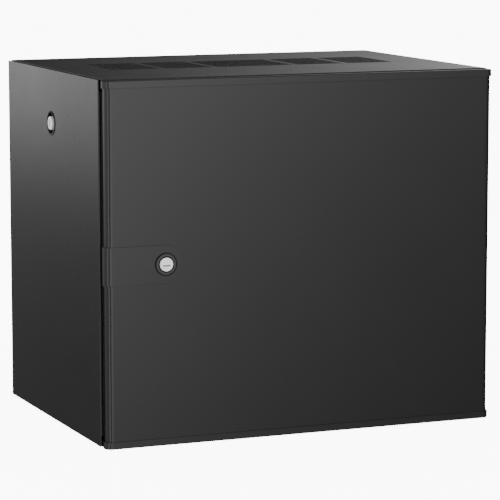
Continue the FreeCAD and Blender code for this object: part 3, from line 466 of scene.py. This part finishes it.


# ---------------------------------------------------------------- lock plugs
# Turned zinc plugs with a satin nickel plate: fine rings from the lathe round the middle of
# the face, a slightly brighter rim, and a dark patch on the keyway: painted shade in the slot,
# with grime round it.
NICKEL = (0.97, 0.96, 0.95, 1.0)
NICKEL_DULL = (0.84, 0.83, 0.81, 1.0)
KEY_GRIME_AND_SHADE = (0.12, 0.115, 0.11, 1.0)
PLUG_HALF = 10.0 * MM
PLUG_EDGE = 0.5 * MM
PLUG_SHADE_GREY = 0.10
PLUG_SHADE_REACH = 2.0 * MM
LATHE_PITCH = 0.16 * MM
LATHE_RINGS = 0.15
LATHE_DEPTH = 0.02 * MM
KEYWAY_OFF = 1.8 * MM
DOOR_GRIME_AND_SHADE = Vector((5.9, 2.0, 0.9)) * MM
SIDE_GRIME_AND_SHADE = Vector((2.0, 1.6, 5.6)) * MM
X_AXIS = 0
Y_AXIS = 1


def turned_nickel(name, node, across, keyway, patch_half):
    """Each axis of the last argument is half the dark patch round the middle of the keyway:
    painted shade in the slot, with grime round it.
    """
    metal = Finish(name, Metallic=0.3)
    place = metal.place()
    out = from_middle(metal, place, node, across)
    rings = metal.node("ShaderNodeMath", {"operation": "SINE"},
                       {0: out * (2 * math.pi / LATHE_PITCH)})
    clouds = metal.noise(place, scale=160.0, detail=4.0, roughness=0.6)
    rim = metal.ramp(out / PLUG_HALF, (0.78, 0.0), (0.92, 1.0))
    dull = metal.ramp(clouds, (0.4, 0.0), (0.75, 1.0)) * (1 - 0.8 * rim)
    reach = vectors(metal, "DIVIDE", vectors(metal, "SUBTRACT", place, keyway), patch_half)
    reach = vectors(metal, "LENGTH", reach).of("Value")
    # Painted shade: the keyway slot is painted dark, with a little sooty grime round its mouth.
    grime_and_shade = metal.ramp(reach + 0.3 * clouds, (0.85, 1.0), (1.25, 0.0))
    colour = mix(metal, dull * 0.45, NICKEL, NICKEL_DULL)
    round_edge = rounded(metal, PLUG_EDGE, samples=6)
    metal.surface(Base_Color=mix(metal, 0.95 * grime_and_shade, colour, KEY_GRIME_AND_SHADE),
                  Roughness=0.34 + 0.12 * dull - 0.10 * rim,
                  Normal=relief(metal, rings, LATHE_RINGS, LATHE_DEPTH, round_edge))
    # Painted shade: the plate turns dead matt and darker grey in the keyway and the gap round the
    # plug.
    shade_in_gaps(metal, PLUG_SHADE_REACH, shut=0.45, clear=0.75, level=PLUG_SHADE_GREY)
    return metal.material


def face_middle(node, axis, outward):
    """The middle of a plug's outer face."""
    low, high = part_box(node)
    middle = (Vector(low) + Vector(high)) / 2
    middle[axis] = high[axis] if outward > 0 else low[axis]
    return middle


door_key = face_middle("door_lock_plug", Y_AXIS, -1) - Vector((0.0, 0.0, KEYWAY_OFF))
dress(turned_nickel("plug_nickel_door", "door_lock_plug", ROUND_Y, door_key, DOOR_GRIME_AND_SHADE),
      "door_lock_plug")
side_key = {}
for side, outward in SIDES.items():
    plug = "side_lock_plug_" + side
    side_key[side] = face_middle(plug, X_AXIS, outward) + Vector((0.0, KEYWAY_OFF, 0.0))
    dress(turned_nickel("plug_nickel_" + side, plug, ROUND_X, side_key[side], SIDE_GRIME_AND_SHADE), plug)


# ---------------------------------------------------------------- key shutters
# A sprung steel flap closes each keyway against dust. It is stamped from strip with a dished
# middle, blackened in oil, and sits a little below the face of the plug.
SHUTTER_LONG = 11.6 * MM
SHUTTER_THICK = 0.7 * MM
SHUTTER_WIDE = 1.68 * MM
SHUTTER_DOWN = 0.9 * MM
SHUTTER_RIM = 0.22 * MM
SHUTTER_DISH = 0.18 * MM
SHUTTER_EDGE = 0.06 * MM
SHUTTER_PITS = 0.3
SHUTTER_PIT_DEPTH = 0.02 * MM
SHUTTER_BLACK = (0.030, 0.029, 0.027, 1.0)
SHUTTER_STEEL = (0.20, 0.19, 0.18, 1.0)
SMOOTH_BELOW = math.radians(35)
FACING = 0.9

shutter_steel = Finish("shutter_steel", Metallic=0.8)
shutter_place = shutter_steel.place()
bared = shutter_steel.noise(shutter_place, scale=900.0, detail=4.0, roughness=0.7)
bared = shutter_steel.ramp(bared, (0.50, 0.0), (0.70, 1.0))
shutter_pits = shutter_steel.noise(shutter_place, scale=2500.0)
shutter_steel.surface(Base_Color=mix(shutter_steel, bared, SHUTTER_BLACK, SHUTTER_STEEL),
                      Roughness=0.34 + 0.2 * bared,
                      Normal=relief(shutter_steel, shutter_pits, SHUTTER_PITS,
                                    SHUTTER_PIT_DEPTH))


def pick_faces(piece, wanted):
    """Selects, in edit mode, just the faces for which wanted(face) holds."""
    bpy.ops.object.mode_set(mode="OBJECT")
    for part in (piece.data.vertices, piece.data.edges, piece.data.polygons):
        for item in part:
            item.select = False
    for face in piece.data.polygons:
        face.select = wanted(face)
    bpy.ops.object.mode_set(mode="EDIT")


def block(middle, size):
    """Adds a box and leaves it in edit mode, to be shaped."""
    bpy.ops.object.select_all(action="DESELECT")
    bpy.ops.mesh.primitive_cube_add(size=1.0, location=middle, scale=size)
    bpy.ops.object.transform_apply(location=True, rotation=True, scale=True)
    bpy.ops.object.mode_set(mode="EDIT")
    bpy.ops.mesh.select_mode(type="FACE")
    return bpy.context.object


def smooth():
    """Leaves edit mode and shades all but the piece's sharp edges smooth."""
    bpy.ops.object.mode_set(mode="OBJECT")
    bpy.ops.object.shade_smooth_by_angle(angle=SMOOTH_BELOW)


def round_edges(piece, width, segments):
    rounding = piece.modifiers.new("rounded", "BEVEL")
    rounding.width = width
    rounding.segments = segments
    bpy.ops.object.modifier_apply(modifier=rounding.name)


def key_shutter(name, middle, size, axis, outward):
    flap = block(middle, size)
    flap.name = name
    pick_faces(flap, lambda face: face.normal[axis] * outward > FACING)
    bpy.ops.mesh.inset(thickness=SHUTTER_RIM, depth=-SHUTTER_DISH)
    bpy.ops.mesh.inset(thickness=SHUTTER_RIM)
    smooth()
    round_edges(flap, SHUTTER_EDGE, 2)
    flap.data.materials.append(shutter_steel.material)
    return flap


inward = Vector((0.0, SHUTTER_DOWN, 0.0))
size = (SHUTTER_LONG, SHUTTER_THICK, SHUTTER_WIDE)
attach(key_shutter("door_key_shutter", door_key + inward, size, Y_AXIS, -1), "door_lock")
size = (SHUTTER_THICK, SHUTTER_WIDE, SHUTTER_LONG)
for side, outward in SIDES.items():
    inward = Vector((-outward * SHUTTER_DOWN, 0.0, 0.0))
    flap = key_shutter("side_key_shutter_" + side, side_key[side] + inward, size, X_AXIS, outward)
    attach(flap, "side_lock_" + side)


# ---------------------------------------------------------------- zinc plated steel
# Rack rails, cams, nuts, screws and studs are plated with zinc. The rails carry the long
# grain of the rolled sheet under a pale bloom; small parts are barrelled to an even grey.
ZINC = (0.60, 0.61, 0.62, 1.0)
ZINC_BLOOM = (0.42, 0.44, 0.46, 1.0)
ZINC_YELLOW = (0.62, 0.58, 0.44, 1.0)
ZINC_EDGE = 0.3 * MM
ZINC_GRAIN = 0.25
ZINC_GRAIN_DEPTH = 0.03 * MM


def zinc_plate(name, stretch, tint, gloss):
    """stretch pulls the grain along one axis; tint is how much passivation colour shows."""
    zinc = Finish(name, Metallic=1.0)
    place = zinc.place()
    along_grain = zinc.node("ShaderNodeMapping", {}, {"Vector": place, "Scale": stretch})
    grain = zinc.noise(along_grain, scale=900.0, detail=3.0, roughness=0.6)
    clouds = zinc.noise(place, scale=26.0, detail=5.0, roughness=0.6)
    spots = zinc.noise(place, scale=150.0, detail=5.0, roughness=0.7)
    spots = zinc.ramp(spots, (0.52, 0.0), (0.72, 1.0))
    colour = mix(zinc, zinc.ramp(clouds, (0.35, 0.0), (0.7, 1.0)), ZINC, ZINC_BLOOM)
    round_edge = rounded(zinc, ZINC_EDGE)
    zinc.surface(Base_Color=mix(zinc, tint * spots, colour, ZINC_YELLOW),
                 Roughness=gloss + 0.16 * clouds + 0.10 * spots,
                 Normal=relief(zinc, grain, ZINC_GRAIN, ZINC_GRAIN_DEPTH, round_edge))
    return zinc.material


rail_zinc = zinc_plate("rail_zinc", stretch=(1.0, 1.0, 0.03), tint=0.15, gloss=0.26)
for end in ("front", "rear"):
    dress(rail_zinc, "rack_rail_" + end + "_left", "rack_rail_" + end + "_right")
small_zinc = zinc_plate("fastener_zinc", stretch=(1.0, 1.0, 1.0), tint=0.35, gloss=0.30)
dress(small_zinc, "bar_screws", "rail_bolts", "rail_nuts", "cage_nuts", "frame_earth_stud",
      "frame_earth_nut", "door_earth_stud", "door_earth_nut", "door_lock_cam", "door_lock_screw")
for side in SIDES:
    dress(small_zinc, "side_lock_cam_" + side, "side_lock_screw_" + side)


# ---------------------------------------------------------------- cage nut springs
# Each caged nut sits in a U of thin spring steel, stamped with a round hole for the screw.
# Its two feet are turned out to lie on the rail and keep the nut from turning.
NUT_BODY = 11.4 * MM
NUT_DEPTH = 4.6 * MM
RAIL_SHEET = 2.0 * MM
SPRING_SHEET = 0.5 * MM
SPRING_HEIGHT = 8.6 * MM
SPRING_CLEAR = 0.05 * MM
SPRING_FOOT = 1.6 * MM
SPRING_HOLE = 6.8 * MM
SPRING_EDGE = 0.1 * MM
NEAR = 0.1 * MM
# The share of a square's side that each corner loses to make the square nearly round.
CORNER_CUT = 0.29
SPRING_BLUE = (0.20, 0.205, 0.22, 1.0)
SPRING_BRIGHT = (0.62, 0.60, 0.56, 1.0)
SPRING_SHEARED = 0.25 * MM
SPRING_TEMPER = 0.25
SPRING_TEMPER_DEPTH = 0.02 * MM

spring_steel = Finish("cage_spring_steel", Metallic=1.0)
tempered = spring_steel.noise(spring_steel.place(), scale=320.0, detail=4.0, roughness=0.6)
spring_edge = rounded(spring_steel, SPRING_SHEARED)
sheared = edge_line(spring_steel, spring_edge, wide=0.2)
spring_colour = mix(spring_steel, tempered * 0.6, SPRING_BLUE, SPRING_BRIGHT)
spring_steel.surface(
    Base_Color=mix(spring_steel, sheared * 0.8, spring_colour, SPRING_BRIGHT),
    Roughness=0.24 + 0.22 * tempered,
    Normal=relief(spring_steel, tempered, SPRING_TEMPER, SPRING_TEMPER_DEPTH, spring_edge))


def cage_spring():
    """A spring at the origin, its feet at y = 0 and its hole away from the rail at +y."""
    width = NUT_BODY + 2 * SPRING_CLEAR
    depth = NUT_DEPTH + SPRING_CLEAR
    spring = block((0.0, depth / 2, 0.0), (width, depth, SPRING_HEIGHT))
    pick_faces(spring, lambda face: face.normal.y < -FACING or abs(face.normal.z) > FACING)
    bpy.ops.mesh.delete(type="FACE")
    pick_faces(spring, lambda face: face.normal.y > FACING)
    bpy.ops.mesh.inset(thickness=(SPRING_HEIGHT - SPRING_HOLE) / 2)
    hole_half = (width - SPRING_HEIGHT + SPRING_HOLE) / 2
    bpy.ops.transform.resize(value=(SPRING_HOLE / 2 / hole_half, 1.0, 1.0))
    bpy.ops.mesh.bevel(offset=SPRING_HOLE * CORNER_CUT, segments=3, affect="VERTICES")
    pick_faces(spring, lambda face: face.normal.y > FACING and
               max(abs(face.center.x), abs(face.center.z)) < NEAR)
    bpy.ops.mesh.delete(type="FACE")
    for way in (-1, 1):
        bpy.ops.mesh.select_mode(type="EDGE")
        bpy.ops.mesh.select_all(action="DESELECT")
        bpy.ops.object.mode_set(mode="OBJECT")
        points = spring.data.vertices
        for edge in spring.data.edges:
            ends = [points[i].co for i in edge.vertices]
            edge.select = all(abs(end.y) < NEAR and end.x * way > 0 for end in ends)
        bpy.ops.object.mode_set(mode="EDIT")
        bpy.ops.mesh.extrude_region_move(
            TRANSFORM_OT_translate={"value": (way * SPRING_FOOT, 0.0, 0.0)})
    bpy.ops.object.mode_set(mode="OBJECT")
    sheet = spring.modifiers.new("sheet", "SOLIDIFY")
    sheet.thickness = SPRING_SHEET
    sheet.offset = 1.0
    bpy.ops.object.modifier_apply(modifier=sheet.name)
    round_edges(spring, SPRING_EDGE, 1)
    smooth()
    spring.data.materials.append(spring_steel.material)
    return spring


first_spring = cage_spring()
nuts_low, nuts_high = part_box("cage_nuts")
nut_half = NUT_BODY / 2
levels = {"lower": nuts_low[2] + nut_half, "upper": nuts_high[2] - nut_half}
for end, away, nut_face in (("front", 1, nuts_low[1]), ("rear", -1, nuts_high[1])):
    y = nut_face + away * RAIL_SHEET
    for side, way in SIDES.items():
        x = way * (nuts_high[0] - nut_half)
        for level, z in levels.items():
            spring = first_spring.copy()
            spring.data = first_spring.data.copy()
            spring.name = "cage_spring_" + end + "_" + level + "_" + side
            bpy.context.scene.collection.objects.link(spring)
            for point in spring.data.vertices:
                point.co = (x + away * point.co.x, y + away * point.co.y, z + point.co.z)
            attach(spring, "cabinet")
bpy.data.objects.remove(first_spring)


# ---------------------------------------------------------------- hinge pins and washers
# Ground steel pins pressed into the arms, with a smear of grease, turn in the caps. A white
# nylon washer keeps each cap off its arm.
PIN_STEEL = (0.50, 0.50, 0.50, 1.0)
PIN_GREASE = (0.16, 0.14, 0.10, 1.0)
PIN_RINGS = 0.2
PIN_RING_DEPTH = 0.01 * MM
NYLON = (0.72, 0.70, 0.64, 1.0)
NYLON_DIRTY = (0.50, 0.47, 0.40, 1.0)
NYLON_SKIN = 0.2
NYLON_SKIN_DEPTH = 0.05 * MM

steel = Finish("pin_steel", Metallic=1.0)
pin_place = steel.place()
greased = steel.noise(pin_place, scale=260.0, detail=4.0, roughness=0.6)
greased = steel.ramp(greased, (0.45, 0.0), (0.65, 1.0))
ground = steel.node("ShaderNodeTexWave", {"bands_direction": "Z"},
                    {"Vector": pin_place, "Scale": 900.0, "Distortion": 1.5, "Detail": 2.0})
steel.surface(Base_Color=mix(steel, greased * 0.6, PIN_STEEL, PIN_GREASE),
              Metallic=1 - 0.5 * greased, Roughness=0.22 + 0.2 * greased,
              Normal=relief(steel, ground.of("Fac"), PIN_RINGS, PIN_RING_DEPTH))
dress(steel.material, "hinge_pin_upper", "hinge_pin_lower")

nylon = Finish("washer_nylon", Subsurface_Weight=0.15, Subsurface_Scale=0.002)
soiled = nylon.noise(nylon.place(), scale=220.0, detail=5.0, roughness=0.65)
nylon.surface(Base_Color=mix(nylon, soiled, NYLON, NYLON_DIRTY),
              Roughness=0.42 + 0.2 * soiled,
              Normal=relief(nylon, soiled, NYLON_SKIN, NYLON_SKIN_DEPTH))
dress(nylon.material, "hinge_washers")


# ---------------------------------------------------------------- rubber
# The edge trim of the lower cable entry and the two door buffers are black rubber, matt, with
# a pale bloom and dust where nothing rubs them.
RUBBER = (0.018, 0.018, 0.017, 1.0)
RUBBER_BLOOM = (0.060, 0.058, 0.054, 1.0)
RUBBER_SKIN = 0.35
RUBBER_SKIN_DEPTH = 0.04 * MM

rubber = Finish("rubber_black", Specular_IOR_Level=0.35)
rubber_place = rubber.place()
bloom = rubber.noise(rubber_place, scale=60.0, detail=6.0, roughness=0.7)
bloom = rubber.ramp(bloom, (0.45, 0.0), (0.8, 1.0))
skin = rubber.noise(rubber_place, scale=2200.0, detail=2.0, roughness=0.5)
rubber.surface(Base_Color=mix(rubber, bloom, RUBBER, RUBBER_BLOOM),
               Roughness=0.62 + 0.2 * bloom,
               Normal=relief(rubber, skin, RUBBER_SKIN, RUBBER_SKIN_DEPTH))
dress(rubber.material, "bottom_entry_trim", "door_buffers")


# ---------------------------------------------------------------- back seam strips
# Black closed cell foam tape with a glued back, pressed over the seams above and below the
# back panel to keep dust out. It is cut square with a knife and swells a little between.
STRIP_WIDE = 12.0 * MM
STRIP_THICK = 2.2 * MM
STRIP_END = 0.4 * MM
STRIP_CROWN = 0.7 * MM
STRIP_EDGE = 0.5 * MM
BACK_SHEET = 1.2 * MM
SEAM_HALF = 0.5 * MM
FOAM = (0.014, 0.014, 0.014, 1.0)
FOAM_DUST = (0.050, 0.048, 0.045, 1.0)
FOAM_PORES = 0.6
FOAM_PORE_DEPTH = 0.12 * MM

foam = Finish("foam_black", Specular_IOR_Level=0.25)
foam_place = foam.place()
pores = cells(foam, foam_place, scale=1500.0)
dusty = foam.noise(foam_place, scale=45.0, detail=5.0, roughness=0.7)
dusty = foam.ramp(dusty, (0.45, 0.0), (0.75, 1.0))
foam.surface(Base_Color=mix(foam, dusty * 0.7, FOAM, FOAM_DUST),
             Roughness=0.8 + 0.15 * dusty,
             Normal=relief(foam, pores, FOAM_PORES, FOAM_PORE_DEPTH))

panel_low, panel_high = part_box("back_panel")
strip_long = 2 * (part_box("rear_post_right")[0][0] - STRIP_END)
strip_y = panel_high[1] - BACK_SHEET - STRIP_THICK / 2
for end, z in (("lower", panel_low[2] - SEAM_HALF), ("upper", panel_high[2] + SEAM_HALF)):
    strip = block((0.0, strip_y, z), (strip_long, STRIP_THICK, STRIP_WIDE))
    strip.name = "back_seam_strip_" + end
    pick_faces(strip, lambda face: face.normal.y < -FACING)
    bpy.ops.mesh.inset(thickness=STRIP_WIDE / 4, depth=0.0)
    bpy.ops.transform.translate(value=(0.0, -STRIP_CROWN, 0.0))
    smooth()
    round_edges(strip, STRIP_EDGE, 3)
    strip.data.materials.append(foam.material)
    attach(strip, "cabinet")
